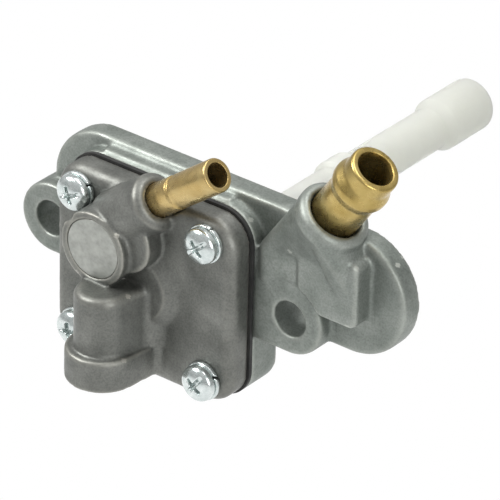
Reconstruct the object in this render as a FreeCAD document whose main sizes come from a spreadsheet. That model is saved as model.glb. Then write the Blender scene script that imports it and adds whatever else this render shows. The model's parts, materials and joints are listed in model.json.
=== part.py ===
import FreeCAD, Part
import math
import os
import types

import Sketcher

# Fuel tap worked by engine vacuum, in millimetres.
# X runs along the tank flange, Y points into the tank and Z points up.
# The origin is the centre of the strainer bore on the face that seals to the tank.
# A depth is a distance in front of that face, towards -Y.

SIZES = {
    # Tank flange
    "flange_left": 31.4,
    "flange_right": 26.0,
    "flange_radius": 11.8,
    "flange_thick": 4.7,
    "flange_edge": 0.8,
    # Diaphragm block, gasket and cover share one rounded outline
    "block_x": -14.8,
    "block_z": -9.5,
    "block_width": 42.4,
    "block_height": 38.8,
    "block_corner": 6.5,
    "joint_depth": 7.5,
    "joint_relief": 0.3,
    "gasket_thick": 0.8,
    "cover_thick": 5.1,
    "cover_inset": 0.4,
    "cover_edge": 2.2,
    "land_rise": 0.7,
    "land_depth": 6.9,
    # Mounting lugs
    "lug_left_reach": 5.3,
    "lug_right_reach": 8.4,
    "lug_drop": 8.0,
    "lug_radius": 7.1,
    "lug_hole": 3.5,
    "lug_depth": 7.9,
    "lug_edge": 0.5,
    "spot_radius": 8.2,
    # Cover screws and spring washers
    "screw_inset_x": 6.3,
    "screw_inset_z": 5.05,
    "screw_radius": 2.0,
    "screw_reach": 5.4,
    "screw_hole_gap": 0.25,
    "thread_gap": 0.02,
    "head_radius": 3.5,
    "head_height": 2.5,
    "head_crown": 1.0,
    "drive_width": 0.9,
    "drive_length": 4.4,
    "drive_depth": 1.3,
    "washer_radius": 3.8,
    "washer_thick": 1.0,
    "washer_split": 0.6,
    "washer_gap": 0.15,
    # Strainer in the tank
    "stub_length": 5.0,
    "stub_wall": 1.1,
    "tube_radius": 4.2,
    "tube_wall": 0.9,
    "collar_start": 23.5,
    "collar_length": 6.5,
    "collar_radius": 5.1,
    "flare_start": 53.8,
    "flare_length": 2.2,
    "end_radius": 5.25,
    "tube_end": 67.8,
    "tube_end_round": 0.7,
    # Seal between flange and tank
    "seal_radius": 7.3,
    "seal_section": 0.8,
    "seal_stand": 0.3,
    "seal_gap": 0.1,
    # Valve chamber behind the diaphragm
    "chamber_radius": 13.2,
    "chamber_depth": 2.6,
    "seat_bore": 1.6,
    "seat_radius": 3.2,
    "seat_height": 0.5,
    "seat_sink": 0.6,
    "inlet_radius": 1.2,
    "inlet_depth": 3.0,
    "passage_radius": 1.1,
    "passage_depth": 6.0,
    # Diaphragm stack that moves towards the cover
    "rim_hole": 13.0,
    "rim_gap": 0.3,
    "sheet_thick": 0.7,
    "plate_radius": 9.5,
    "plate_thick": 0.7,
    "stem_radius": 1.4,
    "stem_sink": 0.8,
    "stem_head": 2.4,
    "stem_head_thick": 0.6,
    "valve_radius": 3.9,
    "valve_gap": 0.03,
    "valve_travel": 1.5,
    # Inside of the cover
    "stop_gap": 0.25,
    "spring_pocket": 4.3,
    "spring_pocket_depth": 1.0,
    "spring_radius": 3.4,
    "spring_wire": 0.22,
    "spring_turns": 2.5,
    "spring_gap": 0.03,
    # Plugged boss on the cover
    "plug_left": 6.7,
    "plug_up": 7.5,
    "plug_radius": 5.9,
    "plug_thick": 1.6,
    "plug_inset": 0.2,
    "plug_rim": 1.4,
    "plug_boss_height": 6.2,
    "plug_well": 2.0,
    # Vacuum arm and its spigot
    "arm_right": 4.3,
    "arm_drop": 0.1,
    "arm_radius": 5.4,
    "arm_length": 13.5,
    "arm_lean": 53.0,
    "arm_edge": 1.0,
    "arm_relief": 0.4,
    "shoulder_length": 5.9,
    "shoulder_radius": 6.2,
    "shoulder_height": 4.1,
    "shoulder_tilt": 26.0,
    "vacuum_radius": 3.2,
    "vacuum_bore": 2.3,
    "vacuum_length": 16.3,
    "vacuum_seat": 6.0,
    "vacuum_groove_place": 5.4,
    "vacuum_groove_width": 0.9,
    "vacuum_groove_depth": 0.3,
    "vacuum_passage": 1.1,
    "spigot_chamfer": 0.35,
    # Upright boss on the cover
    "post_left": 3.7,
    "post_stand": 6.6,
    "post_radius": 5.3,
    "post_spread": 13.0,
    "post_flare": 4.0,
    "post_tuck": 0.7,
    "post_edge": 1.4,
    "base_step": 1.7,
    "base_spread": 5.0,
    "base_flare": 1.6,
    "base_height": 6.4,
    "base_lift": 1.9,
    "base_edge": 0.7,
    "spring_boss_root": 8.7,
    "spring_boss_top": 6.4,
    "spring_boss_height": 1.7,
    # Fuel outlet boss and its spigot
    "outlet_x": 24.1,
    "outlet_z": 17.2,
    "outlet_depth": 7.2,
    "outlet_lean": 34.5,
    "outlet_boss_radius": 6.9,
    "outlet_boss_length": 3.2,
    "neck_left_reach": 0.4,
    "neck_foot": 2.0,
    "neck_inset": 0.1,
    "neck_drop": 2.4,
    "outlet_boss_edge": 0.8,
    "outlet_radius": 4.7,
    "outlet_bore": 3.3,
    "outlet_length": 14.2,
    "outlet_seat": 5.2,
    "outlet_rim_gap": 0.35,
    "outlet_rim_depth": 0.8,
    "outlet_well": 12.5,
    "outlet_well_radius": 1.6,
    "bead_height": 0.7,
    "bead_start": 7.6,
    "bead_length": 2.8,
    "pad_left_reach": 7.1,
    "pad_right_reach": 6.2,
    "pad_top": 9.2,
    "pad_bottom": 4.0,
    "pad_depth": 9.2,
    "pad_corner": 1.6,
    "pad_edge": 0.6,
    "web_left_reach": 16.7,
    "web_right_reach": 0.9,
    "web_bottom": 2.0,
    "web_foot": 5.0,
    "web_depth": 8.3,
    "web_corner": 1.5,
    "web_inset": 0.3,
    "web_drop": 3.0,
    "gusset_tuck": 1.0,
    "gusset_top": 3.6,
    "gusset_depth": 7.4,
}

NODES = []


class Size:
    """A number that also knows its formula in the sheet."""

    def __init__(self, text, value):
        self.text = text
        self.value = value

    def __add__(self, other):
        return combine(self, "+", other, self.value + number(other))

    def __sub__(self, other):
        return combine(self, "-", other, self.value - number(other))

    def __mul__(self, other):
        return combine(self, "*", other, self.value * number(other))

    def __truediv__(self, other):
        return combine(self, "/", other, self.value / number(other))

    def __neg__(self):
        return Size("(-1 * %s)" % self.text, -self.value)


def number(size):
    return size.value if isinstance(size, Size) else size


def combine(first, sign, second, value):
    text = second.text if isinstance(second, Size) else repr(float(second))
    return Size("(%s %s %s)" % (first.text, sign, text), value)


def sine(size):
    return Size("sin(%s * 1 deg)" % size.text, math.sin(math.radians(size.value)))


def cosine(size):
    return Size("cos(%s * 1 deg)" % size.text, math.cos(math.radians(size.value)))


def write_sheet(doc):
    """Put every driving dimension in the sheet and return them by name."""
    sheet = doc.addObject("Spreadsheet::Sheet", "Sizes")
    for row, (name, value) in enumerate(SIZES.items(), 1):
        sheet.set("A%d" % row, name)
        sheet.set("B%d" % row, str(value))
        sheet.setAlias("B%d" % row, name)
    doc.recompute()
    return types.SimpleNamespace(**{name: Size("Sizes." + name, value) for name, value in SIZES.items()})


doc = FreeCAD.newDocument("fuel_tap")
size = write_sheet(doc)

UPRIGHT = FreeCAD.Rotation()
FORWARD = FreeCAD.Rotation(FreeCAD.Vector(1, 0, 0), 90)
BACKWARD = FreeCAD.Rotation(FreeCAD.Vector(1, 0, 0), -90)
LEAN_AXIS = FreeCAD.Vector(0, 1, 0)


def bind(item, prop, value):
    """Tie a property to its formula in the sheet, or set a plain number."""
    if isinstance(value, Size):
        item.setExpression(prop, value.text)
    else:
        setattr(item, prop, value)


def put(item, place, turn=UPRIGHT, lean=None):
    """Place an item: a fixed turn, or a lean to the right about the Y axis."""
    if lean is not None:
        turn = FreeCAD.Rotation(LEAN_AXIS, lean.value)
    item.Placement = FreeCAD.Placement(FreeCAD.Vector(*[number(value) for value in place]), turn)
    for axis, value in zip("xyz", place):
        if isinstance(value, Size):
            item.setExpression("Placement.Base." + axis, value.text)
    if lean is not None:
        item.setExpression("Placement.Rotation.Angle", lean.text + " * 1 deg")


def cylinder(name, radius, height, place, turn=UPRIGHT, lean=None):
    item = doc.addObject("Part::Cylinder", name)
    bind(item, "Radius", radius)
    bind(item, "Height", height)
    put(item, place, turn, lean)
    return item


def cone(name, radius, end_radius, height, place, turn=UPRIGHT, lean=None):
    item = doc.addObject("Part::Cone", name)
    bind(item, "Radius1", radius)
    bind(item, "Radius2", end_radius)
    bind(item, "Height", height)
    put(item, place, turn, lean)
    return item


def box(name, width, depth, height, place):
    item = doc.addObject("Part::Box", name)
    bind(item, "Length", width)
    bind(item, "Width", depth)
    bind(item, "Height", height)
    put(item, place)
    return item


def torus(name, radius, section, place, turn=UPRIGHT, lean=None):
    item = doc.addObject("Part::Torus", name)
    bind(item, "Radius1", radius)
    bind(item, "Radius2", section)
    put(item, place, turn, lean)
    return item


def fuse(name, items):
    item = doc.addObject("Part::MultiFuse", name)
    item.Shapes = items
    item.Refine = True
    return item


def cut(name, base, tools):
    tool = tools[0] if len(tools) == 1 else fuse(name + "_tools", tools)
    item = doc.addObject("Part::Cut", name)
    item.Base = base
    item.Tool = tool
    item.Refine = True
    return item


def group(name, items):
    item = doc.addObject("Part::Compound", name)
    item.Links = items
    return item


def keep(item, name):
    """Name a finished piece of the tap."""
    item.Label = name
    NODES.append(item)
    return item


def origin_plane(body, role):
    return next(item for item in body.Origin.OriginFeatures if item.Role == role)


def new_body(name):
    return doc.addObject("PartDesign::Body", name)


def new_sketch(body, name, role, offset):
    sketch = body.newObject("Sketcher::SketchObject", name)
    sketch.AttachmentSupport = (origin_plane(body, role), "")
    sketch.MapMode = "FlatFace"
    bind_offset = offset.text if isinstance(offset, Size) else str(offset)
    sketch.setExpression("AttachmentOffset.Base.z", bind_offset)
    return sketch


def dimension(sketch, kind, *refs):
    """Add a sketch dimension tied to the sheet; the last argument is its size."""
    value = refs[-1]
    index = sketch.addConstraint(Sketcher.Constraint(kind, *refs[:-1], number(value)))
    if isinstance(value, Size):
        sketch.setExpression("Constraints[%d]" % index, value.text)


def point(x, y):
    return FreeCAD.Vector(number(x), number(y), 0)


def add_circle(sketch, x, y, radius):
    ring = sketch.addGeometry(Part.Circle(point(x, y), FreeCAD.Vector(0, 0, 1), number(radius)))
    dimension(sketch, "DistanceX", -1, 1, ring, 3, x)
    dimension(sketch, "DistanceY", -1, 1, ring, 3, y)
    dimension(sketch, "Radius", ring, radius)


def arc(x, y, radius, start, end):
    circle = Part.Circle(point(x, y), FreeCAD.Vector(0, 0, 1), number(radius))
    return Part.ArcOfCircle(circle, math.radians(start), math.radians(end))


def line(x1, y1, x2, y2):
    return Part.LineSegment(point(x1, y1), point(x2, y2))


def add_rounded_rectangle(sketch, left, right, bottom, top, corner):
    """A rectangle with four equal corner arcs, held by its four sides."""
    pieces = [
        line(left + corner, bottom, right - corner, bottom),
        arc(right - corner, bottom + corner, corner, 270, 360),
        line(right, bottom + corner, right, top - corner),
        arc(right - corner, top - corner, corner, 0, 90),
        line(right - corner, top, left + corner, top),
        arc(left + corner, top - corner, corner, 90, 180),
        line(left, top - corner, left, bottom + corner),
        arc(left + corner, bottom + corner, corner, 180, 270),
    ]
    first = sketch.addGeometry(pieces[0])
    for piece in pieces[1:]:
        sketch.addGeometry(piece)
    for step in range(0, 8, 2):
        side = first + step
        turn = side + 1
        following = first + (step + 2) % 8
        sketch.addConstraint(Sketcher.Constraint("Tangent", side, 2, turn, 1))
        sketch.addConstraint(Sketcher.Constraint("Tangent", turn, 2, following, 1))
    for step in (0, 4):
        sketch.addConstraint(Sketcher.Constraint("Horizontal", first + step))
        sketch.addConstraint(Sketcher.Constraint("Vertical", first + step + 2))
    for step in (3, 5, 7):
        sketch.addConstraint(Sketcher.Constraint("Equal", first + 1, first + step))
    dimension(sketch, "Radius", first + 1, corner)
    dimension(sketch, "DistanceX", -1, 1, first + 6, 1, left)
    dimension(sketch, "DistanceX", -1, 1, first + 2, 1, right)
    dimension(sketch, "DistanceY", -1, 1, first, 1, bottom)
    dimension(sketch, "DistanceY", -1, 1, first + 4, 1, top)


def add_slot(sketch, left, right, height, radius):
    """Two half circles joined by level lines."""
    top = height + radius
    bottom = height - radius
    pieces = [
        line(left, bottom, right, bottom),
        arc(right, height, radius, 270, 450),
        line(right, top, left, top),
        arc(left, height, radius, 90, 270),
    ]
    first = sketch.addGeometry(pieces[0])
    for piece in pieces[1:]:
        sketch.addGeometry(piece)
    for step in range(4):
        following = first + (step + 1) % 4
        sketch.addConstraint(Sketcher.Constraint("Tangent", first + step, 2, following, 1))
    sketch.addConstraint(Sketcher.Constraint("Equal", first + 1, first + 3))
    dimension(sketch, "Radius", first + 1, radius)
    dimension(sketch, "DistanceX", -1, 1, first + 1, 3, right)
    dimension(sketch, "DistanceY", -1, 1, first + 1, 3, height)
    dimension(sketch, "DistanceX", -1, 1, first + 3, 3, left)
    dimension(sketch, "DistanceY", -1, 1, first + 3, 3, height)


def add_polygon(sketch, points):
    """A closed outline of straight lines with every corner placed from the origin."""
    count = len(points)
    first = None
    for index in range(count):
        start = points[index]
        end = points[(index + 1) % count]
        edge = sketch.addGeometry(line(start[0], start[1], end[0], end[1]))
        first = edge if first is None else first
    for index in range(count):
        following = first + (index + 1) % count
        sketch.addConstraint(Sketcher.Constraint("Coincident", first + index, 2, following, 1))
    for index, (x, y) in enumerate(points):
        dimension(sketch, "DistanceX", -1, 1, first + index, 1, x)
        dimension(sketch, "DistanceY", -1, 1, first + index, 1, y)


def pad(body, name, sketch, length):
    item = body.newObject("PartDesign::Pad", name)
    item.Profile = sketch
    bind(item, "Length", length)
    return item


def revolve(body, name, sketch, role):
    item = body.newObject("PartDesign::Revolution", name)
    item.Profile = sketch
    item.ReferenceAxis = (origin_plane(body, role), [""])
    item.Angle = 360
    return item


def edges_where(shape, test):
    return ["Edge%d" % index for index, edge in enumerate(shape.Edges, 1) if test(edge)]


def round_edges(body, name, base, radius, test):
    """Round the edges of a feature that pass a test on their place."""
    doc.recompute()
    item = body.newObject("PartDesign::Fillet", name)
    item.Base = (base, edges_where(base.Shape, test))
    bind(item, "Radius", radius)
    return item


def lies_at_depth(depth):
    """A test for edges that lie in the plane at one depth in front of the tank face."""
    level = -number(depth)

    def test(edge):
        bounds = edge.BoundBox
        return abs(bounds.YMin - level) < 1e-4 and abs(bounds.YMax - level) < 1e-4

    return test


def lies_at_height(height):
    level = number(height)

    def test(edge):
        bounds = edge.BoundBox
        return abs(bounds.ZMin - level) < 1e-4 and abs(bounds.ZMax - level) < 1e-4

    return test


def block_sides(inset):
    """The shared outline of block, gasket and cover, drawn in by an inset."""
    half_width = size.block_width / 2 - inset
    half_height = size.block_height / 2 - inset
    return (
        size.block_x - half_width,
        size.block_x + half_width,
        size.block_z - half_height,
        size.block_z + half_height,
        size.block_corner - inset,
    )


def screw_places():
    """Centres of the cover screws, from top left round to bottom left."""
    half_x = size.block_width / 2 - size.screw_inset_x
    half_z = size.block_height / 2 - size.screw_inset_z
    return [
        (size.block_x - half_x, size.block_z + half_z),
        (size.block_x + half_x, size.block_z + half_z),
        (size.block_x + half_x, size.block_z - half_z),
        (size.block_x - half_x, size.block_z - half_z),
    ]


def along_lean(x, z, lean, distance):
    """A point at a distance along a leaning axis."""
    return (x + sine(lean) * distance, z + cosine(lean) * distance)


def bearing(x, z):
    """The lean from Z towards X of a level pair of distances."""
    value = math.degrees(math.atan2(x.value, z.value))
    return Size("(atan2(%s; %s) / 1 deg)" % (x.text, z.text), value)


def span(x, z):
    return Size("sqrt(%s * %s + %s * %s)" % (x.text, x.text, z.text, z.text), math.hypot(x.value, z.value))


zero = Size("0", 0.0)
block_left = size.block_x - size.block_width / 2
block_right = size.block_x + size.block_width / 2
block_top = size.block_z + size.block_height / 2
left_lug_x = block_left - size.lug_left_reach
right_lug_x = block_right + size.lug_right_reach
cover_back = size.joint_depth + size.gasket_thick
cover_face = cover_back + size.cover_thick
chamber_floor = size.joint_depth - size.chamber_depth
seat_front = chamber_floor + size.seat_height
seat_back = chamber_floor - size.seat_sink
web_back = size.joint_depth + (size.gasket_thick - size.sheet_thick) / 2
web_front = web_back + size.sheet_thick
rear_plate_back = web_back - size.plate_thick
front_plate_front = web_front + size.plate_thick
recess_floor = front_plate_front + size.stem_head_thick + size.valve_travel + size.stop_gap
pocket_floor = recess_floor + size.spring_pocket_depth
web_radius = size.rim_hole - size.rim_gap
stub_radius = size.tube_radius - size.tube_wall
strainer_bore = stub_radius - size.stub_wall
head_seat = cover_face + size.washer_thick
screw_end = size.joint_depth - size.screw_reach
arm_depth = cover_back + size.arm_radius
plug_boss_radius = size.plug_radius + size.plug_rim
plug_boss_face = cover_face + size.plug_boss_height
plug_face = plug_boss_face - size.plug_inset
plug_x = size.block_x - size.plug_left
plug_z = size.block_z + size.plug_up
arm_x = size.block_x + size.arm_right
arm_z = block_top - size.arm_drop
post_x = size.block_x - size.post_left
post_y = cover_face + size.post_stand
post_top = plug_z - plug_boss_radius + size.post_tuck
base_bottom = size.block_z - size.block_height / 2 + size.base_lift
base_top = base_bottom + size.base_height


def flange_plate():
    """Long tank flange with round ends and a softened front edge."""
    body = new_body("flange_plate")
    sketch = new_sketch(body, "flange_outline", "XZ_Plane", zero)
    add_slot(sketch, -size.flange_left, size.flange_right, zero, size.flange_radius)
    plate = pad(body, "flange_pad", sketch, size.flange_thick)
    round_edges(body, "flange_round", plate, size.flange_edge, lies_at_depth(size.flange_thick))
    return body


def diaphragm_block():
    """Square block that carries the diaphragm and hangs below the flange."""
    body = new_body("diaphragm_block")
    sketch = new_sketch(body, "block_outline", "XZ_Plane", zero)
    add_rounded_rectangle(sketch, *block_sides(0.0))
    pad(body, "block_pad", sketch, size.joint_depth)
    return body


def joint_relief():
    """Room in front of the joint face for the gasket and the cover."""
    body = new_body("joint_room")
    sketch = new_sketch(body, "joint_room_outline", "XZ_Plane", size.joint_depth)
    add_rounded_rectangle(sketch, *block_sides(-size.joint_relief))
    pad(body, "joint_room_pad", sketch, size.cover_thick)
    return body


def lug(name, left, right):
    """Round-ended mounting lug between its hole and the block."""
    body = new_body(name)
    sketch = new_sketch(body, name + "_outline", "XZ_Plane", zero)
    add_slot(sketch, left, right, -size.lug_drop, size.lug_radius)
    plate = pad(body, name + "_pad", sketch, size.lug_depth)
    round_edges(body, name + "_round", plate, size.lug_edge, lies_at_depth(size.lug_depth))
    return body


def outlet_pad():
    """Upright pad under the outlet boss, relieved round the right lug."""
    body = new_body("outlet_pad")
    sketch = new_sketch(body, "pad_outline", "XZ_Plane", zero)
    left = size.outlet_x - size.pad_left_reach
    right = size.outlet_x + size.pad_right_reach
    add_rounded_rectangle(sketch, left, right, -size.pad_bottom, size.pad_top, size.pad_corner)
    plate = pad(body, "pad_pad", sketch, size.pad_depth)
    round_edges(body, "pad_round", plate, size.pad_edge, lies_at_depth(size.pad_depth))
    return body


def web_sides():
    """Outline of the web's foot, seen from above."""
    left = size.outlet_x - size.web_left_reach
    right = size.outlet_x + size.web_right_reach
    return (left, right, -size.web_depth, zero, size.web_corner)


def web_base():
    """Upright foot of the web beside the right lug."""
    body = new_body("web_base")
    sketch = new_sketch(body, "web_base_outline", "XY_Plane", -size.web_bottom)
    add_rounded_rectangle(sketch, *web_sides())
    pad(body, "web_base_pad", sketch, size.web_bottom + size.web_foot)
    return body


def web_gusset():
    """Low tie from the block into the web, round the outlet passage."""
    width = size.outlet_x - block_right + size.gusset_tuck
    height = size.web_bottom + size.gusset_top
    place = (block_right - size.gusset_tuck, -size.gusset_depth, -size.web_bottom)
    return box("web_gusset", width, size.gusset_depth, height, place)


def flared_web(name, sides, foot_height, inset, drop):
    """Web that widens from a foot on the flange up to the outlet boss."""
    foot = doc.addObject("Sketcher::SketchObject", name + "_foot")
    add_rounded_rectangle(foot, *sides)
    put(foot, (zero, zero, foot_height))
    ring_edge = doc.addObject("Part::Circle", name + "_ring")
    bind(ring_edge, "Radius", size.outlet_boss_radius - inset)
    x, z = along_lean(size.outlet_x, size.outlet_z, size.outlet_lean, -drop)
    put(ring_edge, (x, -size.outlet_depth, z), lean=size.outlet_lean)
    web = doc.addObject("Part::Loft", name)
    web.Sections = [foot, ring_edge]
    web.Solid = True
    web.Ruled = True
    return web


def outlet_web():
    """Broad web on the left of the outlet boss."""
    return flared_web("outlet_web", web_sides(), size.web_foot, size.web_inset, size.web_drop)


def outlet_neck():
    """Narrow neck that carries the outlet boss on its pad."""
    left = size.outlet_x + size.neck_left_reach
    right = size.outlet_x + size.pad_right_reach
    sides = (left, right, -size.pad_depth, zero, size.pad_corner)
    return flared_web("outlet_neck", sides, size.neck_foot, size.neck_inset, size.neck_drop)


def block_land():
    """Raised land on top of the block, just below the flange's edge."""
    width = size.block_width - size.block_corner * 2
    place = (block_left + size.block_corner, -size.land_depth, block_top - size.land_rise)
    return box("block_land", width, size.land_depth, size.land_rise * 2, place)


def leaning(name, radius, start, reach, lean, x, z, depth):
    """A cylinder along a leaning axis, from one distance to another."""
    foot_x, foot_z = along_lean(x, z, lean, start)
    return cylinder(name, radius, reach - start, (foot_x, -depth, foot_z), lean=lean)


def on_outlet(name, radius, start, reach):
    x = size.outlet_x
    z = size.outlet_z
    return leaning(name, radius, start, reach, size.outlet_lean, x, z, size.outlet_depth)


def on_arm(name, radius, start, reach):
    return leaning(name, radius, start, reach, size.arm_lean, arm_x, arm_z, arm_depth)


def forward(name, radius, back, front, x, z):
    """A cylinder along Y between two depths in front of the tank face."""
    return cylinder(name, radius, front - back, (x, -back, z), FORWARD)


def main_body():
    """One casting: flange, diaphragm block, lugs, outlet boss and strainer stub."""
    boss = on_outlet("outlet_boss", size.outlet_boss_radius, -size.outlet_boss_length, zero)
    doc.recompute()
    boss_round = doc.addObject("Part::Chamfer", "outlet_boss_round")
    boss_round.Base = boss
    top = max(range(len(boss.Shape.Edges)), key=lambda index: boss.Shape.Edges[index].CenterOfMass.z)
    edge = size.outlet_boss_edge.value
    boss_round.Edges = [(top + 1, edge, edge)]
    solid = fuse("body_casting", [
        flange_plate(),
        diaphragm_block(),
        lug("left_lug", left_lug_x, size.block_x),
        lug("right_lug", size.block_x, right_lug_x),
        block_land(),
        outlet_pad(),
        web_base(),
        web_gusset(),
        outlet_web(),
        outlet_neck(),
        boss_round,
        cylinder("strainer_stub", stub_radius, size.stub_length, (zero, zero, zero), BACKWARD),
    ])
    seat_x = size.block_x
    seat_z = size.block_z
    well_x, well_z = along_lean(size.outlet_x, size.outlet_z, size.outlet_lean, -size.outlet_well)
    passage_x = well_x - seat_x
    passage_z = well_z - seat_z
    inlet_floor = size.inlet_depth + size.inlet_radius / 2
    tools = [
        forward("left_lug_hole", size.lug_hole, zero, cover_back, left_lug_x, -size.lug_drop),
        forward("right_lug_hole", size.lug_hole, zero, cover_back, right_lug_x, -size.lug_drop),
        forward("right_spot_face", size.spot_radius, size.lug_depth, cover_face, right_lug_x, -size.lug_drop),
        forward("chamber", size.chamber_radius, chamber_floor, cover_back, seat_x, seat_z),
        forward("seat_socket", size.seat_radius, seat_back, chamber_floor, seat_x, seat_z),
        forward("seat_drilling", size.seat_bore, size.inlet_depth, chamber_floor, seat_x, seat_z),
        cylinder("inlet_drilling", size.inlet_radius, span(seat_x, seat_z), (zero, -size.inlet_depth, zero),
                 lean=bearing(seat_x, seat_z)),
        cylinder("strainer_drilling", strainer_bore, inlet_floor + size.stub_length,
                 (zero, -inlet_floor, zero), BACKWARD),
        cylinder("outlet_passage", size.passage_radius, span(passage_x, passage_z),
                 (seat_x, -size.passage_depth, seat_z), lean=bearing(passage_x, passage_z)),
        on_outlet("outlet_well", size.outlet_well_radius, -size.outlet_well, zero),
        on_outlet("outlet_socket", size.outlet_radius, -size.outlet_seat, zero),
        on_outlet("outlet_rim", size.outlet_radius + size.outlet_rim_gap, -size.outlet_rim_depth, zero),
        seal_groove(),
        joint_relief(),
    ]
    for index, (x, z) in enumerate(screw_places(), 1):
        radius = size.screw_radius + size.thread_gap
        tools.append(forward("thread_%d" % index, radius, screw_end, cover_back, x, z))
    keep(cut("body_drilled", solid, tools), "main_body")


def seal_groove():
    """Square groove for the tank seal, cut into the sealing face."""
    outer = size.seal_radius + size.seal_section + size.seal_gap
    inner = size.seal_radius - size.seal_section - size.seal_gap
    depth = size.seal_section * 2 - size.seal_stand
    ring = forward("groove_outer", outer, zero, depth, zero, zero)
    return cut("seal_groove", ring, [forward("groove_inner", inner, zero, depth, zero, zero)])


def tank_o_ring():
    centre = size.seal_section - size.seal_stand
    keep(torus("o_ring", size.seal_radius, size.seal_section, (zero, -centre, zero), FORWARD), "tank_o_ring")


def strainer_tube():
    """Closed translucent sleeve with a collar and a wider end, turned about Y."""
    body = new_body("strainer_tube")
    sketch = new_sketch(body, "tube_profile", "XY_Plane", zero)
    collar_step = size.collar_radius - size.tube_radius
    collar_end = size.collar_start + size.collar_length
    flare_end = size.flare_start + size.flare_length
    end_inside = size.end_radius - size.tube_wall
    add_polygon(sketch, [
        (stub_radius, zero),
        (size.tube_radius, zero),
        (size.tube_radius, size.collar_start),
        (size.collar_radius, size.collar_start + collar_step),
        (size.collar_radius, collar_end - collar_step),
        (size.tube_radius, collar_end),
        (size.tube_radius, size.flare_start),
        (size.end_radius, flare_end),
        (size.end_radius, size.tube_end - size.tube_end_round),
        (size.end_radius - size.tube_end_round, size.tube_end),
        (zero, size.tube_end),
        (zero, size.tube_end - size.tube_wall),
        (end_inside, size.tube_end - size.tube_wall),
        (end_inside, flare_end),
        (stub_radius, size.flare_start),
    ])
    revolve(body, "tube_turned", sketch, "Y_Axis")
    keep(body, "strainer_tube")


def boss_outline(sketch, radius, spread, flare):
    """Round-fronted outline whose sides spread a little and flare out at the cover face."""
    x = post_x
    side_x = radius * cosine(spread)
    side_y = post_y + radius * sine(spread)
    flare_y = cover_face + flare - flare * sine(spread)
    flare_x = side_x + (side_y - flare_y) * sine(spread) / cosine(spread)
    edge = flare_x + flare * cosine(spread)
    centre_y = cover_face + flare
    root = cover_back + size.cover_thick / 2
    angle = spread.value
    pieces = [
        arc(x, -post_y, radius, 180 + angle, 360 - angle),
        line(x + side_x, -side_y, x + flare_x, -flare_y),
        arc(x + edge, -centre_y, flare, 90, 180 - angle),
        line(x + edge, -cover_face, x + edge, -root),
        line(x + edge, -root, x - edge, -root),
        line(x - edge, -root, x - edge, -cover_face),
        arc(x - edge, -centre_y, flare, angle, 90),
        line(x - flare_x, -flare_y, x - side_x, -side_y),
    ]
    sketch.addGeometry(pieces[0])
    for piece in pieces[1:]:
        sketch.addGeometry(piece)
    joints = [
        (0, 2, 1, 1), (1, 2, 2, 2), (2, 1, 3, 1), (3, 2, 4, 1),
        (4, 2, 5, 1), (5, 2, 6, 2), (6, 1, 7, 1), (7, 2, 0, 1),
    ]
    for joint in joints:
        sketch.addConstraint(Sketcher.Constraint("Coincident", *joint))
    places = [
        (0, 3, x, -post_y), (0, 2, x + side_x, -side_y), (1, 2, x + flare_x, -flare_y),
        (3, 1, x + edge, -cover_face), (4, 1, x + edge, -root), (4, 2, x - edge, -root),
        (5, 2, x - edge, -cover_face), (7, 1, x - flare_x, -flare_y),
    ]
    for piece, end, place_x, place_y in places:
        dimension(sketch, "DistanceX", -1, 1, piece, end, place_x)
        dimension(sketch, "DistanceY", -1, 1, piece, end, place_y)
    dimension(sketch, "DistanceX", -1, 1, 7, 2, x - side_x)
    dimension(sketch, "Radius", 2, flare)
    dimension(sketch, "Radius", 6, flare)


def upright_boss(name, radius, spread, flare, bottom, top, edge):
    """Part of the upright boss, rounded round its top."""
    body = new_body(name)
    sketch = new_sketch(body, name + "_outline", "XY_Plane", bottom)
    boss_outline(sketch, radius, spread, flare)
    block = pad(body, name + "_pad", sketch, top - bottom)
    front = -cover_face.value
    at_top = lies_at_height(top)

    def before_the_face(item):
        box = item.BoundBox
        return at_top(item) and box.YMax < front + 1e-4 and box.YMin < front - 1e-4

    round_edges(body, name + "_round", block, edge, before_the_face)
    return body


def cover_plate():
    """Cover with the block's outline and a rounded front edge."""
    body = new_body("cover_plate")
    sketch = new_sketch(body, "cover_outline", "XZ_Plane", cover_back)
    add_rounded_rectangle(sketch, *block_sides(size.cover_inset))
    plate = pad(body, "cover_pad", sketch, size.cover_thick)
    round_edges(body, "cover_round", plate, size.cover_edge, lies_at_depth(cover_face))
    return body


def arm_shoulder():
    """Broad root of the vacuum arm beside the plugged boss."""
    body = new_body("arm_shoulder")
    sketch = new_sketch(body, "shoulder_outline", "XZ_Plane", cover_back)
    add_slot(sketch, zero, size.shoulder_length, zero, size.shoulder_radius)
    pad(body, "shoulder_pad", sketch, size.cover_thick + size.shoulder_height)
    put(body, (plug_x, zero, plug_z), lean=-size.shoulder_tilt)
    return body


def spring_boss():
    """Low round boss over the diaphragm spring, in line with the diaphragm."""
    place = (size.block_x, -cover_face, size.block_z)
    return cone("spring_boss", size.spring_boss_root, size.spring_boss_top, size.spring_boss_height, place, FORWARD)


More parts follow.
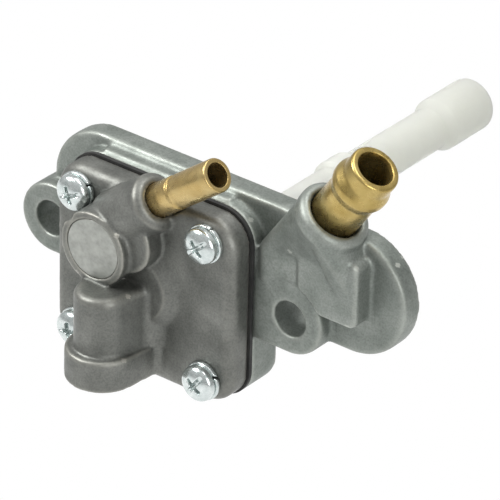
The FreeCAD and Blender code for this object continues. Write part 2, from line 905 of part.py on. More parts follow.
def diaphragm_cover():
    """One casting: cover plate, plugged boss, vacuum arm and upright boss."""
    arm = on_arm("vacuum_arm", size.arm_radius, -size.arm_length, zero)
    doc.recompute()
    arm_round = doc.addObject("Part::Chamfer", "vacuum_arm_round")
    arm_round.Base = arm
    end = max(range(len(arm.Shape.Edges)), key=lambda index: arm.Shape.Edges[index].CenterOfMass.z)
    edge = size.arm_edge.value
    arm_round.Edges = [(end + 1, edge, edge)]
    solid = fuse("cover_casting", [
        cover_plate(),
        forward("plug_boss", plug_boss_radius, cover_back, plug_boss_face, plug_x, plug_z),
        arm_round,
        arm_shoulder(),
        spring_boss(),
        upright_boss("post", size.post_radius, size.post_spread, size.post_flare, base_top, post_top,
                     size.post_edge),
        upright_boss("post_base", size.post_radius + size.base_step, size.base_spread, size.base_flare,
                     base_bottom, base_top, size.base_edge),
    ])
    x = size.block_x
    z = size.block_z
    plug_back = plug_face - size.plug_thick
    tools = [
        forward("cover_recess", size.chamber_radius, size.joint_depth, recess_floor, x, z),
        forward("spring_well", size.spring_pocket, recess_floor, pocket_floor, x, z),
        forward("plug_socket", size.plug_radius, plug_back, plug_boss_face, plug_x, plug_z),
        forward("plug_well", size.plug_well, cover_back, plug_back, plug_x, plug_z),
        on_arm("vacuum_socket", size.vacuum_radius, -size.vacuum_seat, zero),
        on_arm("vacuum_relief", size.vacuum_radius + size.arm_relief, zero, size.vacuum_length),
        on_arm("vacuum_passage", size.vacuum_passage, -size.arm_length, zero),
    ]
    for index, (place_x, place_z) in enumerate(screw_places(), 1):
        radius = size.screw_radius + size.screw_hole_gap
        tools.append(forward("cover_hole_%d" % index, radius, size.joint_depth, cover_face, place_x, place_z))
        radius = size.washer_radius + size.washer_gap
        tools.append(forward("washer_seat_%d" % index, radius, cover_face, plug_boss_face, place_x, place_z))
    keep(cut("cover_drilled", solid, tools), "diaphragm_cover")


def cover_plug():
    plug_back = plug_face - size.plug_thick
    keep(forward("plug_disc", size.plug_radius, plug_back, plug_face, plug_x, plug_z), "cover_plug")


def diaphragm_gasket():
    """Clamped rim of the diaphragm between block and cover."""
    body = new_body("gasket_sheet")
    sketch = new_sketch(body, "gasket_outline", "XZ_Plane", size.joint_depth)
    add_rounded_rectangle(sketch, *block_sides(0.0))
    add_circle(sketch, size.block_x, size.block_z, size.rim_hole)
    for x, z in screw_places():
        add_circle(sketch, x, z, size.screw_radius + size.screw_hole_gap)
    pad(body, "gasket_pad", sketch, size.gasket_thick)
    keep(body, "diaphragm_gasket")


def ring(name, radius, hole, back, front):
    """A ring about the diaphragm axis."""
    outer = forward(name + "_disc", radius, back, front, size.block_x, size.block_z)
    inner = forward(name + "_hole", hole, back, front, size.block_x, size.block_z)
    return cut(name, outer, [inner])


def diaphragm_stack():
    """Everything that moves with the diaphragm."""
    keep(ring("web", web_radius, size.stem_radius, web_back, web_front), "diaphragm_web")
    keep(ring("front_plate", size.plate_radius, size.stem_radius, web_front, front_plate_front),
         "diaphragm_plate_front")
    keep(ring("rear_plate", size.plate_radius, size.stem_radius, rear_plate_back, web_back),
         "diaphragm_plate_rear")
    x = size.block_x
    z = size.block_z
    stem_end = rear_plate_back - size.stem_sink
    stem_front = front_plate_front + size.stem_head_thick
    stem = fuse("stem", [
        forward("stem_rod", size.stem_radius, stem_end, front_plate_front, x, z),
        forward("stem_button", size.stem_head, front_plate_front, stem_front, x, z),
    ])
    keep(stem, "valve_stem")
    pad_back = seat_front + size.valve_gap
    disc = forward("valve_disc", size.valve_radius, pad_back, rear_plate_back, x, z)
    keep(cut("valve", disc, [forward("valve_socket", size.stem_radius, stem_end, rear_plate_back, x, z)]),
         "valve_seal")


def valve_seat():
    keep(ring("seat", size.seat_radius, size.seat_bore, seat_back, seat_front), "valve_seat")


def diaphragm_spring():
    """Round wire coiled between the front plate and the cover."""
    start = front_plate_front + size.spring_wire + size.spring_gap
    reach = pocket_floor - size.spring_wire - size.spring_gap - start
    coil = doc.addObject("Part::Helix", "spring_path")
    bind(coil, "Radius", size.spring_radius)
    bind(coil, "Height", reach)
    bind(coil, "Pitch", reach / size.spring_turns)
    coil.SegmentLength = 0.25
    put(coil, (size.block_x, -start, size.block_z), FORWARD)
    wire = doc.addObject("Part::Circle", "spring_section")
    bind(wire, "Radius", size.spring_wire)
    put(wire, (size.block_x + size.spring_radius, -start, size.block_z))
    sweep = doc.addObject("Part::Sweep", "spring")
    sweep.Sections = [wire]
    doc.recompute()
    sweep.Spine = (coil, ["Edge%d" % index for index in range(1, len(coil.Shape.Edges) + 1)])
    sweep.Solid = True
    sweep.Frenet = True
    keep(sweep, "diaphragm_spring")


def spigot(name, profile, x, z, depth, lean):
    """A tube turned about its own axis and set at a lean."""
    body = new_body(name)
    sketch = new_sketch(body, name + "_profile", "XZ_Plane", zero)
    add_polygon(sketch, profile)
    revolve(body, name + "_turned", sketch, "Z_Axis")
    put(body, (x, -depth, z), lean=lean)
    keep(body, name)


def vacuum_spigot():
    groove = size.vacuum_groove_place
    slope = size.vacuum_groove_depth
    waist = size.vacuum_radius - size.vacuum_groove_depth
    groove_end = groove + size.vacuum_groove_width
    spigot("vacuum_spigot", [
        (size.vacuum_bore, -size.vacuum_seat),
        (size.vacuum_radius, -size.vacuum_seat),
        (size.vacuum_radius, groove - slope),
        (waist, groove),
        (waist, groove_end),
        (size.vacuum_radius, groove_end + slope),
        (size.vacuum_radius, size.vacuum_length - size.spigot_chamfer),
        (size.vacuum_radius - size.spigot_chamfer, size.vacuum_length),
        (size.vacuum_bore, size.vacuum_length),
    ], arm_x, arm_z, arm_depth, size.arm_lean)


def fuel_outlet_spigot():
    bead = size.outlet_radius + size.bead_height
    bead_end = size.bead_start + size.bead_length
    spigot("fuel_outlet_spigot", [
        (size.outlet_bore, -size.outlet_seat),
        (size.outlet_radius, -size.outlet_seat),
        (size.outlet_radius, size.bead_start),
        (bead, size.bead_start + size.bead_height),
        (bead, bead_end - size.bead_height),
        (size.outlet_radius, bead_end),
        (size.outlet_radius, size.outlet_length - size.spigot_chamfer),
        (size.outlet_radius - size.spigot_chamfer, size.outlet_length),
        (size.outlet_bore, size.outlet_length),
    ], size.outlet_x, size.outlet_z, size.outlet_depth, size.outlet_lean)


def cross_outline(half, wide):
    """Corners of a cross, from the right arm round to the lower one."""
    return [
        (half, -wide), (half, wide), (wide, wide), (wide, half), (-wide, half), (-wide, wide),
        (-half, wide), (-half, -wide), (-wide, -wide), (-wide, -half), (wide, -half), (wide, -wide),
    ]


def cover_screw(index, x, z):
    """Pan-head screw with a cross recess."""
    name = "screw_%d" % index
    body = new_body(name)
    sketch = new_sketch(body, name + "_profile", "XY_Plane", zero)
    top = head_seat + size.head_height
    add_polygon(sketch, [
        (zero, -screw_end),
        (size.screw_radius, -screw_end),
        (size.screw_radius, -head_seat),
        (size.head_radius, -head_seat),
        (size.head_radius, size.head_crown - top),
        (size.head_radius - size.head_crown, -top),
        (zero, -top),
    ])
    revolve(body, name + "_turned", sketch, "Y_Axis")
    recess = new_sketch(body, name + "_recess", "XZ_Plane", top)
    add_polygon(recess, cross_outline(size.drive_length / 2, size.drive_width / 2))
    pocket = body.newObject("PartDesign::Pocket", name + "_drive")
    pocket.Profile = recess
    bind(pocket, "Length", size.drive_depth)
    put(body, (x, zero, z))
    return body


def spring_washer(index, x, z):
    """Split washer under a screw head."""
    name = "washer_%d" % index
    outer = forward(name + "_disc", size.washer_radius, cover_face, head_seat, x, z)
    inner = forward(name + "_hole", size.screw_radius + size.screw_hole_gap, cover_face, head_seat, x, z)
    gap = box(name + "_gap", size.washer_split, size.washer_thick, size.washer_radius,
              (x - size.washer_split / 2, -head_seat, z))
    return cut(name, outer, [inner, gap])


def fasteners():
    places = list(enumerate(screw_places(), 1))
    keep(group("screw_set", [cover_screw(index, x, z) for index, (x, z) in places]), "cover_screws")
    keep(group("washer_set", [spring_washer(index, x, z) for index, (x, z) in places]), "spring_washers")


def check_and_write():
    """Stop on a broken feature, then write one file for each piece."""
    doc.recompute()
    for item in doc.Objects:
        if "Invalid" in item.State or "Error" in item.State:
            raise RuntimeError("feature in error: " + item.Name)
    os.makedirs("parts", exist_ok=True)
    for item in NODES:
        if item.Shape.isNull() or not item.Shape.isValid():
            raise RuntimeError("broken shape: " + item.Label)
        item.Shape.exportStep("parts/%s.step" % item.Label)


main_body()
tank_o_ring()
strainer_tube()
diaphragm_cover()
cover_plug()
diaphragm_gasket()
diaphragm_stack()
valve_seat()
diaphragm_spring()
vacuum_spigot()
fuel_outlet_spigot()
fasteners()
check_and_write()
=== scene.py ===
import math

import bmesh
import bpy
from mathutils import Matrix, Vector
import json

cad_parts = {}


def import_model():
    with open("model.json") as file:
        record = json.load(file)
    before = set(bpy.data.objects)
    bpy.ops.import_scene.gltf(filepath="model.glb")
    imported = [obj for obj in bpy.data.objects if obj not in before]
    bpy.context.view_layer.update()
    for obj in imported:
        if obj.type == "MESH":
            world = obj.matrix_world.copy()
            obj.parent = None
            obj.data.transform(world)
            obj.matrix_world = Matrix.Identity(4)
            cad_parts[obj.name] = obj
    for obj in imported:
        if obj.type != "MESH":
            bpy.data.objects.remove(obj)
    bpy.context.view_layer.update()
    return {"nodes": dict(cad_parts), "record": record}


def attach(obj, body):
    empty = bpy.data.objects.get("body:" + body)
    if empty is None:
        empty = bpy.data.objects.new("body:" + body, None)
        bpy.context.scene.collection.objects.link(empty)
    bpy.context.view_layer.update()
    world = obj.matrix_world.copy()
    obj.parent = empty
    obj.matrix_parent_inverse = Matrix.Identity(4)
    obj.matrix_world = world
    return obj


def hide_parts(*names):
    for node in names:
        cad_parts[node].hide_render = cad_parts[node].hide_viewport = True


MM = 0.001

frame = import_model()
nodes = frame["nodes"]
scene = bpy.context.scene

# Sizes and places shared with the solids, in millimetres and degrees.
COVER_FACE = 13.4
OUTLET = {
    "at": (24.1, -7.2, 17.2),
    "lean": 34.5,
    "bore": 3.3,
    "tube": 4.7,
    "bead": 5.4,
    "foot": -5.2,
    "tip": 14.2,
}
VACUUM = {
    "at": (-10.5, -13.7, 9.8),
    "lean": 53.0,
    "bore": 2.3,
    "tube": 3.2,
    "groove": 2.9,
    "foot": -6.0,
    "tip": 16.3,
}
SLEEVE = {
    "bore": 3.3,
    "tube": 4.2,
    "collar": 5.1,
    "end": 5.25,
    "end_bore": 4.35,
    "collar_start": 23.5,
    "collar_stop": 30.0,
    "collar_slope": 0.9,
    "flare_start": 53.8,
    "flare_stop": 56.0,
    "length": 67.8,
    "end_wall": 0.9,
}
PLUG = {
    "at": (-21.5, -17.8, -2.0),
    "radius": 5.9,
    "thick": 1.6,
}
SCREW_PLACES = [(-29.7, 4.85), (0.1, 4.85), (0.1, -23.85), (-29.7, -23.85)]
SCREW = {
    "shank": 2.0,
    "length": 12.2,
    "point": 0.4,
    "head": 3.5,
    "rim": 0.95,
    "dome": 1.52,
}
WASHER = {
    "thick": 1.0,
    "inner": 2.35,
    "outer": 3.78,
    "play": 0.03,
    "gap": 10,
}

# How far each screw and each washer is turned, in degrees.
SCREW_TURNS = (20, 40, 55, 10)
WASHER_TURNS = (35, 70, 30, 200)

# Cutters of the drive: half length and half width at the mouth and at the floor, then the floor's depth.
CROSS = (2.15, 0.50, 1.25, 0.30, -1.5)
SLOT = (3.9, 0.46, 3.9, 0.40, -0.62)

# Lamps: place in metres, width and height in metres, power in watts.
LAMPS = {
    "key": ((-0.55, -0.40, 0.70), (0.5, 0.5), 8.6),
    "fill": ((0.75, -0.35, 0.30), (0.5, 0.6), 3.2),
    "top": ((0.10, 0.20, 0.85), (0.7, 0.5), 4.4),
}
FLOOR_SIZE = 6
FLOOR_HEIGHT = -0.16
ROOM_STRENGTH = 0.66

# Share of the white surroundings that metal shows in its reflections.
MIRRORED_WHITE = 0.4

# Camera fitted to the photograph: place in metres and unit directions in the frame.
CAMERA_PLACE = (0.434921, -0.562336, 0.409489)
CAMERA_RIGHT = (0.781084, 0.624148, 0.018645)
CAMERA_UP = (-0.327225, 0.383706, 0.863535)
CAMERA_LENS = 326.738
CAMERA_SHIFT = (0.035187, 0.024060)


def move_to(place, lean=0.0):
    """A matrix for a piece drawn about Z, leaned to the right and put in place."""
    turn = Matrix.Rotation(math.radians(lean), 4, "Y")
    return Matrix.Translation(Vector(place) * MM) @ turn @ Matrix.Scale(MM, 4)


def facing_front(place, spin=0.0):
    """A matrix that turns a piece drawn about Z so that its top looks to -Y."""
    turn = Matrix.Rotation(math.radians(90), 4, "X") @ Matrix.Rotation(math.radians(spin), 4, "Z")
    return Matrix.Translation(Vector(place) * MM) @ turn @ Matrix.Scale(MM, 4)


def new_object(name, mesh):
    obj = bpy.data.objects.new(name, mesh)
    scene.collection.objects.link(obj)
    return obj


def object_from(name, shape, smooth=True):
    """Turn a drawn shape into an object."""
    mesh = bpy.data.meshes.new(name)
    shape.to_mesh(mesh)
    shape.free()
    if smooth:
        mesh.shade_smooth()
    return new_object(name, mesh)


def rounded(profile, radii, steps=5):
    """Round the corners of an open or closed profile of (radius, height) points."""
    points = []
    count = len(profile)
    for index, (here, radius) in enumerate(zip(profile, radii)):
        if radius <= 0:
            points.append(here)
            continue
        corner = Vector(here)
        towards = Vector(profile[index - 1]) - corner
        onwards = Vector(profile[(index + 1) % count]) - corner
        half = towards.angle(onwards) / 2
        reach = min(radius / math.tan(half), towards.length * 0.49, onwards.length * 0.49)
        true = reach * math.tan(half)
        middle = (towards.normalized() + onwards.normalized()).normalized()
        centre = corner + middle * (true / math.sin(half))
        start = corner + towards.normalized() * reach - centre
        end = corner + onwards.normalized() * reach - centre
        sweep = start.angle_signed(end)
        for step in range(steps + 1):
            turn = -sweep * step / steps
            points.append((
                centre.x + start.x * math.cos(turn) - start.y * math.sin(turn),
                centre.y + start.x * math.sin(turn) + start.y * math.cos(turn),
            ))
    return points


def lathe(name, profile, matrix, segments=96, closed=True):
    """Turn a profile of (radius, height) points about Z."""
    shape = bmesh.new()
    rings = []
    for radius, height in profile:
        if radius < 1e-6:
            rings.append([shape.verts.new((0, 0, height))])
            continue
        ring = []
        for step in range(segments):
            angle = 2 * math.pi * step / segments
            ring.append(shape.verts.new((radius * math.cos(angle), radius * math.sin(angle), height)))
        rings.append(ring)
    pairs = list(zip(rings, rings[1:]))
    if closed:
        pairs.append((rings[-1], rings[0]))
    for first, second in pairs:
        for step in range(segments):
            after = (step + 1) % segments
            if len(first) == 1 and len(second) == 1:
                continue
            if len(first) == 1:
                shape.faces.new((first[0], second[after], second[step]))
            elif len(second) == 1:
                shape.faces.new((first[step], first[after], second[0]))
            else:
                shape.faces.new((first[step], first[after], second[after], second[step]))
    bmesh.ops.recalc_face_normals(shape, faces=shape.faces)
    bmesh.ops.transform(shape, matrix=matrix, verts=shape.verts)
    return object_from(name, shape)


def settle(obj):
    """Bake the modifiers of a piece into its own mesh."""
    graph = bpy.context.evaluated_depsgraph_get()
    mesh = bpy.data.meshes.new_from_object(obj.evaluated_get(graph))
    obj.modifiers.clear()
    obj.data = mesh
    mesh.shade_smooth()


def cut_away(obj, cutters):
    """Take the cutters out of a piece and delete them."""
    bpy.context.view_layer.update()
    for cutter in cutters:
        step = obj.modifiers.new(cutter.name, "BOOLEAN")
        step.operation = "DIFFERENCE"
        step.object = cutter
        step.solver = "EXACT"
    settle(obj)
    for cutter in cutters:
        bpy.data.objects.remove(cutter)


def soften(obj, voxel, passes, unit=MM):
    """Rebuild a piece on a fine grid and relax it, so that every edge is blended."""
    remesh = obj.modifiers.new("grid", "REMESH")
    remesh.mode = "VOXEL"
    remesh.voxel_size = voxel * unit
    relax = obj.modifiers.new("relax", "SMOOTH")
    relax.factor = 0.5
    relax.iterations = passes
    settle(obj)


def roughen(obj, size, depth):
    """Raise a fine uneven skin on a casting."""
    texture = bpy.data.textures.new(obj.name + "_skin", "CLOUDS")
    texture.noise_scale = size * MM
    texture.noise_depth = 3
    step = obj.modifiers.new("skin", "DISPLACE")
    step.texture = texture
    step.texture_coords = "GLOBAL"
    step.strength = depth * MM
    step.mid_level = 0.5
    settle(obj)


def copy_of(node, name):
    """A free copy of a solid's mesh, with its seams welded."""
    obj = nodes[node].copy()
    obj.data = nodes[node].data.copy()
    obj.parent = None
    obj.matrix_world = Matrix.Identity(4)
    obj.name = name
    scene.collection.objects.link(obj)
    weld = bmesh.new()
    weld.from_mesh(obj.data)
    bmesh.ops.remove_doubles(weld, verts=weld.verts, dist=1e-7)
    weld.to_mesh(obj.data)
    weld.free()
    return obj


def shader(name):
    material = bpy.data.materials.new(name)
    material.use_nodes = True
    tree = material.node_tree
    tree.nodes.clear()
    output = tree.nodes.new("ShaderNodeOutputMaterial")
    principled = tree.nodes.new("ShaderNodeBsdfPrincipled")
    tree.links.new(principled.outputs[0], output.inputs["Surface"])
    return material, tree, principled


def noise(tree, scale, detail=4.0):
    """A noise pattern laid over the piece in its own space, in cycles per metre."""
    place = tree.nodes.new("ShaderNodeTexCoord")
    pattern = tree.nodes.new("ShaderNodeTexNoise")
    pattern.inputs["Scale"].default_value = scale
    pattern.inputs["Detail"].default_value = detail
    tree.links.new(place.outputs["Object"], pattern.inputs["Vector"])
    return pattern.outputs["Fac"]


def ramp(tree, source, stops):
    """Turn a pattern into colours or greys at the given stops."""
    node = tree.nodes.new("ShaderNodeValToRGB")
    elements = node.color_ramp.elements
    while len(elements) < len(stops):
        elements.new(0.5)
    for element, (position, colour) in zip(elements, stops):
        element.position = position
        element.color = (*colour, 1.0) if not isinstance(colour, float) else (colour, colour, colour, 1.0)
    tree.links.new(source, node.inputs["Fac"])
    return node.outputs["Color"]


def mix(tree, first, second, factor, mode="MIX"):
    node = tree.nodes.new("ShaderNodeMix")
    node.data_type = "RGBA"
    node.blend_type = mode
    if isinstance(factor, float):
        node.inputs["Factor"].default_value = factor
    else:
        tree.links.new(factor, node.inputs["Factor"])
    tree.links.new(first, node.inputs["A"])
    tree.links.new(second, node.inputs["B"])
    return node.outputs["Result"]


def bump(tree, principled, source, strength, distance):
    node = tree.nodes.new("ShaderNodeBump")
    node.inputs["Strength"].default_value = strength
    node.inputs["Distance"].default_value = distance * MM
    tree.links.new(source, node.inputs["Height"])
    tree.links.new(node.outputs["Normal"], principled.inputs["Normal"])


def cast_metal(name, dark, middle, light, rough, edge):
    """Die-cast metal: clouded grey, a lighter tint on convex edges for edge wear and painted highlight, and
    painted shade darkening the creases.
    """
    material, tree, principled = shader(name)
    clouds = ramp(tree, noise(tree, 160.0, 5.0), [(0.30, dark), (0.52, middle), (0.75, light)])
    specks = ramp(tree, noise(tree, 2600.0, 3.0), [(0.30, 0.74), (0.62, 1.0)])
    colour = mix(tree, clouds, specks, 1.0, "MULTIPLY")
    geometry = tree.nodes.new("ShaderNodeNewGeometry")
    # Edge wear and painted highlight: a lighter warm tint on sharp convex edges.
    wear_and_edge_highlight = ramp(tree, geometry.outputs["Pointiness"], [(0.505, 0.0), (0.56, 1.0)])
    tint = tree.nodes.new("ShaderNodeRGB")
    tint.outputs[0].default_value = (*edge, 1.0)
    colour = mix(tree, colour, tint.outputs[0], wear_and_edge_highlight)
    # Painted shade: the colour is darkened in creases and recesses, where shade falls.
    painted_crease_shade = ramp(tree, geometry.outputs["Pointiness"], [(0.42, 0.55), (0.492, 1.0)])
    colour = mix(tree, colour, painted_crease_shade, 1.0, "MULTIPLY")
    tree.links.new(colour, principled.inputs["Base Color"])
    principled.inputs["Metallic"].default_value = 0.75
    roughness = ramp(tree, noise(tree, 420.0, 4.0), [(0.3, rough - 0.07), (0.7, rough + 0.08)])
    tree.links.new(roughness, principled.inputs["Roughness"])
    bump(tree, principled, noise(tree, 3800.0, 4.0), 0.35, 0.05)
    return material


def bright_metal(name, dark, light, rough, scale, depth=0.02, strength=0.3):
    """Turned or plated metal with fine marks."""
    material, tree, principled = shader(name)
    colour = ramp(tree, noise(tree, scale, 4.0), [(0.30, dark), (0.70, light)])
    tree.links.new(colour, principled.inputs["Base Color"])
    principled.inputs["Metallic"].default_value = 0.9
    roughness = ramp(tree, noise(tree, scale * 2.5, 3.0), [(0.3, rough * 0.75), (0.7, rough * 1.35)])
    tree.links.new(roughness, principled.inputs["Roughness"])
    bump(tree, principled, noise(tree, scale * 6.0, 3.0), strength, depth)
    return material


def soft_plastic(name, dark, light, rough, glow=0.0):
    """Dull rubber or, with some glow, a milky plastic that lets light through."""
    material, tree, principled = shader(name)
    colour = ramp(tree, noise(tree, 300.0, 4.0), [(0.35, dark), (0.65, light)])
    tree.links.new(colour, principled.inputs["Base Color"])
    principled.inputs["Roughness"].default_value = rough
    if glow:
        principled.inputs["Subsurface Weight"].default_value = glow
        principled.inputs["Subsurface Radius"].default_value = (6 * MM, 6 * MM, 6 * MM)
        principled.inputs["Subsurface Scale"].default_value = 1.0
        principled.inputs["Transmission Weight"].default_value = 0.45
    bump(tree, principled, noise(tree, 1500.0, 3.0), 0.15, 0.03)
    return material


MATERIALS = {
    "cast_body": cast_metal(
        "cast_body", dark=(0.19, 0.212, 0.192), middle=(0.252, 0.276, 0.252), light=(0.33, 0.353, 0.327),
        rough=0.50, edge=(0.44, 0.46, 0.42)),
    "cast_cover": cast_metal(
        "cast_cover", dark=(0.135, 0.140, 0.128), middle=(0.184, 0.189, 0.174), light=(0.240, 0.245, 0.226),
        rough=0.47, edge=(0.37, 0.365, 0.325)),
    "plug": bright_metal(
        "plug", dark=(0.34, 0.35, 0.325), light=(0.43, 0.44, 0.41), rough=0.50, scale=500.0),
    "brass_small": bright_metal(
        "brass_small", dark=(0.44, 0.31, 0.115), light=(0.55, 0.42, 0.19), rough=0.27, scale=260.0,
        depth=0.01, strength=0.12),
    "brass_large": bright_metal(
        "brass_large", dark=(0.37, 0.265, 0.08), light=(0.53, 0.405, 0.155), rough=0.27, scale=260.0,
        depth=0.01, strength=0.12),
    "zinc_steel": bright_metal(
        "zinc_steel", dark=(0.50, 0.56, 0.55), light=(0.72, 0.76, 0.75), rough=0.20, scale=800.0, depth=0.03),
    "spring_steel": bright_metal(
        "spring_steel", dark=(0.35, 0.35, 0.36), light=(0.5, 0.5, 0.5), rough=0.3, scale=900.0),
    "rubber": soft_plastic(
        "rubber", dark=(0.012, 0.012, 0.012), light=(0.03, 0.03, 0.028), rough=0.7),
    "nylon": soft_plastic(
        "nylon", dark=(0.83, 0.84, 0.77), light=(0.86, 0.87, 0.80), rough=0.65, glow=1.0),
}
SLOT_OF = {part["node"]: part["material_slot"] for part in frame["record"]["subparts"]}


def dress(obj, slot):
    obj.data.materials.clear()
    obj.data.materials.append(MATERIALS[slot])


for node, obj in nodes.items():
    dress(obj, SLOT_OF[node])


def hand_over(obj, node, body="housing"):
    """Let a drawn piece stand for the solid of the same part."""
    dress(obj, SLOT_OF[node])
    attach(obj, body)
    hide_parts(node)


def casting(node, voxel, passes, depth):
    """The solid of a casting with blended edges and a skin, sizes in millimetres."""
    obj = copy_of(node, node + "_cast")
    soften(obj, voxel, passes)
    roughen(obj, 1.6, depth)
    hand_over(obj, node)


casting("main_body", 0.34, 16, 0.05)
casting("diaphragm_cover", 0.32, 6, 0.08)


def spigot(node, spec, profile, radii):
    matrix = move_to(spec["at"], spec["lean"])
    obj = lathe(node + "_turned", rounded(profile, radii), matrix, 128)
    hand_over(obj, node)


def fuel_outlet():
    """Hose tube with a soft bead and an eased mouth."""
    bore = OUTLET["bore"]
    tube = OUTLET["tube"]
    bead = OUTLET["bead"]
    foot = OUTLET["foot"]
    tip = OUTLET["tip"]
    profile = [
        (bore, foot), (tube, foot), (tube, 6.6), (bead, 8.4), (bead, 9.6), (tube, 11.3), (tube, tip),
        (bore + 0.2, tip), (bore, tip - 0.8),
    ]
    spigot("fuel_outlet_spigot", OUTLET, profile, [0, 0, 2.5, 1.6, 1.6, 2.0, 0.55, 0.2, 0.2])


def vacuum_tube():
    """Plain small tube with one turned groove."""
    bore = VACUUM["bore"]
    tube = VACUUM["tube"]
    groove = VACUUM["groove"]
    foot = VACUUM["foot"]
    tip = VACUUM["tip"]
    profile = [
        (bore, foot), (tube, foot), (tube, 5.1), (groove, 5.4), (groove, 6.3), (tube, 6.6), (tube, tip),
        (bore, tip),
    ]
    spigot("vacuum_spigot", VACUUM, profile, [0, 0, 0.2, 0.2, 0.2, 0.2, 0.3, 0.12])


fuel_outlet()
vacuum_tube()


def recess_bar(name, height, turn, reach, wide, tip_reach, tip, depth):
    """A tapering bar that cuts one slot of a drive recess."""
    mouth = 0.6
    shape = bmesh.new()
    corners = [
        (-reach, -wide, mouth), (reach, -wide, mouth), (reach, wide, mouth), (-reach, wide, mouth),
        (-tip_reach, -tip, depth), (tip_reach, -tip, depth), (tip_reach, tip, depth), (-tip_reach, tip, depth),
    ]
    turned = Matrix.Rotation(math.radians(turn), 3, "Z")
    verts = [shape.verts.new(turned @ Vector(corner) + Vector((0, 0, height))) for corner in corners]
    for face in ((0, 1, 2, 3), (7, 6, 5, 4), (0, 4, 5, 1), (1, 5, 6, 2), (2, 6, 7, 3), (3, 7, 4, 0)):
        shape.faces.new([verts[index] for index in face])
    bmesh.ops.recalc_face_normals(shape, faces=shape.faces)
    return object_from(name, shape, smooth=False)


def screw(index, place, spin):
    """Pan-head screw: a domed head with a cross recess and a slot, and a plain shank."""
    x, z = place
    shank = SCREW["shank"]
    length = SCREW["length"]
    head_radius = SCREW["head"]
    rim = SCREW["rim"]
    dome = SCREW["dome"]
    top = rim + dome
    profile = [
        (0, -length), (shank - 0.3, -length), (shank, SCREW["point"] - length), (shank, 0),
        (head_radius - 0.2, 0), (head_radius, 0.2), (head_radius, rim),
    ]
    steps = 12
    for step in range(1, steps):
        angle = math.radians(90 * step / steps)
        profile.append((head_radius * math.cos(angle), rim + dome * math.sin(angle)))
    profile.append((0, top))
    head = lathe("screw_head_%d" % index, profile, Matrix.Identity(4), 64, closed=False)
    cut_away(head, [
        recess_bar("cross_a", top, 0, *CROSS),
        recess_bar("cross_b", top, 90, *CROSS),
        recess_bar("slot", top, 0, *SLOT),
    ])
    soften(head, 0.13, 2, unit=1.0)
    head.data.transform(facing_front((x, -(COVER_FACE + WASHER["thick"]), z), spin))
    head.data.update()
    return head


def spring_washer(index, place, start):
    """Split washer with rounded edges and a slanting cut."""
    x, z = place
    inner = WASHER["inner"]
    outer = WASHER["outer"]
    low = WASHER["play"]
    high = WASHER["thick"] - WASHER["play"]
    gap = WASHER["gap"]
    matrix = facing_front((x, -COVER_FACE, z), start)
    section = rounded([(inner, low), (outer, low), (outer, high), (inner, high)], [0.12, 0.25, 0.25, 0.12], 3)
    shape = bmesh.new()
    steps = 72
    rings = []
    for step in range(steps + 1):
        ring = []
        for radius, height in section:
            slant = (height - WASHER["thick"] / 2) * 0.18
            angle = math.radians(gap / 2 + (360 - gap) * step / steps) + slant
            ring.append(shape.verts.new((radius * math.cos(angle), radius * math.sin(angle), height)))
        rings.append(ring)
    count = len(section)
    for first, second in zip(rings, rings[1:]):
        for side in range(count):
            after = (side + 1) % count
            shape.faces.new((first[side], first[after], second[after], second[side]))
    shape.faces.new(rings[0])
    shape.faces.new(list(reversed(rings[-1])))
    bmesh.ops.recalc_face_normals(shape, faces=shape.faces)
    bmesh.ops.transform(shape, matrix=matrix, verts=shape.verts)
    return object_from("washer_%d" % index, shape)


def join(parts, name):
    """Bring several objects into one."""
    shape = bmesh.new()
    for part in parts:
        shape.from_mesh(part.data)
        bpy.data.objects.remove(part)
    return object_from(name, shape)


def fasteners():
    """The four cover screws, each on its split washer."""
    heads = []
    washers = []
    for index, place in enumerate(SCREW_PLACES):
        heads.append(screw(index + 1, place, SCREW_TURNS[index]))
        washers.append(spring_washer(index + 1, place, WASHER_TURNS[index]))
    hand_over(join(heads, "screws_drawn"), "cover_screws")
    hand_over(join(washers, "washers_drawn"), "spring_washers")


fasteners()


def strainer():
    """Moulded sleeve with a rounded collar and a wider closed end."""
    bore = SLEEVE["bore"]
    tube = SLEEVE["tube"]
    collar = SLEEVE["collar"]
    end = SLEEVE["end"]
    end_bore = SLEEVE["end_bore"]
    start = SLEEVE["collar_start"]
    stop = SLEEVE["collar_stop"]
    slope = SLEEVE["collar_slope"]
    flare_start = SLEEVE["flare_start"]
    flare_stop = SLEEVE["flare_stop"]
    length = SLEEVE["length"]
    floor = length - SLEEVE["end_wall"]
    profile = [
        (bore, 0), (tube, 0),
        (tube, start), (collar, start + slope), (collar, stop - slope), (tube, stop),
        (tube, flare_start), (end, flare_stop), (end, length), (0, length),
        (0, floor), (end_bore, floor), (end_bore, flare_stop), (bore, flare_start),
    ]
    radii = [0, 0, 0.7, 0.7, 0.7, 0.7, 0.8, 0.8, 1.2, 0, 0, 0.6, 0, 0]
    turn = Matrix.Rotation(math.radians(-90), 4, "X") @ Matrix.Scale(MM, 4)
    hand_over(lathe("strainer_moulded", rounded(profile, radii, 6), turn), "strainer_tube")


strainer()


def plug():
    """Disc with an eased rim in the boss of the cover."""
    radius = PLUG["radius"]
    thick = PLUG["thick"]
    profile = rounded([(0, 0), (radius, 0), (radius, thick), (0, thick)], [0, 0, 0.25, 0])
    disc = lathe("plug_disc", profile, facing_front(PLUG["at"]), 128, closed=False)
    hand_over(disc, "cover_plug")


plug()


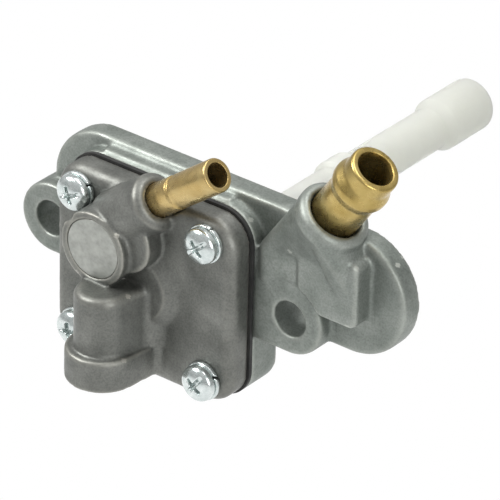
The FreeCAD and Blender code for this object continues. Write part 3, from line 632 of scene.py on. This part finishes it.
def pale_floor():
    """Pale floor well below the part; seen directly it is plain white."""
    bpy.ops.mesh.primitive_plane_add(size=FLOOR_SIZE, location=(0, 0, FLOOR_HEIGHT))
    floor = bpy.context.object
    floor.name = "floor"
    material = bpy.data.materials.new("floor")
    material.use_nodes = True
    tree = material.node_tree
    tree.nodes.clear()
    output = tree.nodes.new("ShaderNodeOutputMaterial")
    diffuse = tree.nodes.new("ShaderNodeBsdfDiffuse")
    diffuse.inputs["Color"].default_value = (0.8, 0.8, 0.8, 1)
    glow = tree.nodes.new("ShaderNodeEmission")
    glow.inputs["Color"].default_value = (1, 1, 1, 1)
    glow.inputs["Strength"].default_value = 1.0
    ray = tree.nodes.new("ShaderNodeLightPath")
    blend = tree.nodes.new("ShaderNodeMixShader")
    tree.links.new(ray.outputs["Is Camera Ray"], blend.inputs[0])
    tree.links.new(diffuse.outputs[0], blend.inputs[1])
    tree.links.new(glow.outputs[0], blend.inputs[2])
    tree.links.new(blend.outputs[0], output.inputs["Surface"])
    floor.data.materials.append(material)


pale_floor()


def lamp(name, place, size, power):
    """Soft rectangular lamp that looks at the part."""
    light = bpy.data.lights.new(name, "AREA")
    light.shape = "RECTANGLE"
    light.size, light.size_y = size
    light.energy = power
    obj = bpy.data.objects.new(name, light)
    obj.location = place
    obj.rotation_euler = (-Vector(place)).to_track_quat("-Z", "Y").to_euler()
    scene.collection.objects.link(obj)


for name, (place, size, power) in LAMPS.items():
    lamp(name, place, size, power)


def world():
    """Soft room light; the camera, clear plastic and, in part, metal see plain white."""
    sky = bpy.data.worlds.new("studio")
    sky.use_nodes = True
    tree = sky.node_tree
    tree.nodes.clear()
    output = tree.nodes.new("ShaderNodeOutputWorld")
    seen = tree.nodes.new("ShaderNodeBackground")
    seen.inputs["Color"].default_value = (1, 1, 1, 1)
    seen.inputs["Strength"].default_value = 1.0
    room = tree.nodes.new("ShaderNodeBackground")
    place = tree.nodes.new("ShaderNodeTexCoord")
    split = tree.nodes.new("ShaderNodeSeparateXYZ")
    tree.links.new(place.outputs["Generated"], split.inputs[0])
    shade = ramp(tree, split.outputs["Z"], [(0.0, 0.25), (0.45, 0.4), (1.0, 0.9)])
    tree.links.new(shade, room.inputs["Color"])
    room.inputs["Strength"].default_value = ROOM_STRENGTH
    ray = tree.nodes.new("ShaderNodeLightPath")
    mirrored = tree.nodes.new("ShaderNodeMath")
    mirrored.operation = "MULTIPLY_ADD"
    mirrored.use_clamp = True
    tree.links.new(ray.outputs["Is Glossy Ray"], mirrored.inputs[0])
    mirrored.inputs[1].default_value = MIRRORED_WHITE
    tree.links.new(ray.outputs["Is Camera Ray"], mirrored.inputs[2])
    white = tree.nodes.new("ShaderNodeMath")
    white.operation = "ADD"
    white.use_clamp = True
    tree.links.new(mirrored.outputs[0], white.inputs[0])
    tree.links.new(ray.outputs["Is Transmission Ray"], white.inputs[1])
    blend = tree.nodes.new("ShaderNodeMixShader")
    tree.links.new(white.outputs[0], blend.inputs[0])
    tree.links.new(room.outputs[0], blend.inputs[1])
    tree.links.new(seen.outputs[0], blend.inputs[2])
    tree.links.new(blend.outputs[0], output.inputs["Surface"])
    scene.world = sky


world()
scene.view_settings.view_transform = "Standard"


def camera():
    data = bpy.data.cameras.new("camera")
    data.sensor_width = 36.0
    data.lens = CAMERA_LENS
    data.shift_x, data.shift_y = CAMERA_SHIFT
    data.clip_start = 0.05
    data.clip_end = 20.0
    obj = bpy.data.objects.new("camera", data)
    right = Vector(CAMERA_RIGHT)
    back = right.cross(Vector(CAMERA_UP)).normalized()
    up = back.cross(right).normalized()
    right = up.cross(back).normalized()
    turn = Matrix((right, up, back)).transposed().to_4x4()
    obj.matrix_world = Matrix.Translation(CAMERA_PLACE) @ turn
    scene.collection.objects.link(obj)
    scene.camera = obj


camera()
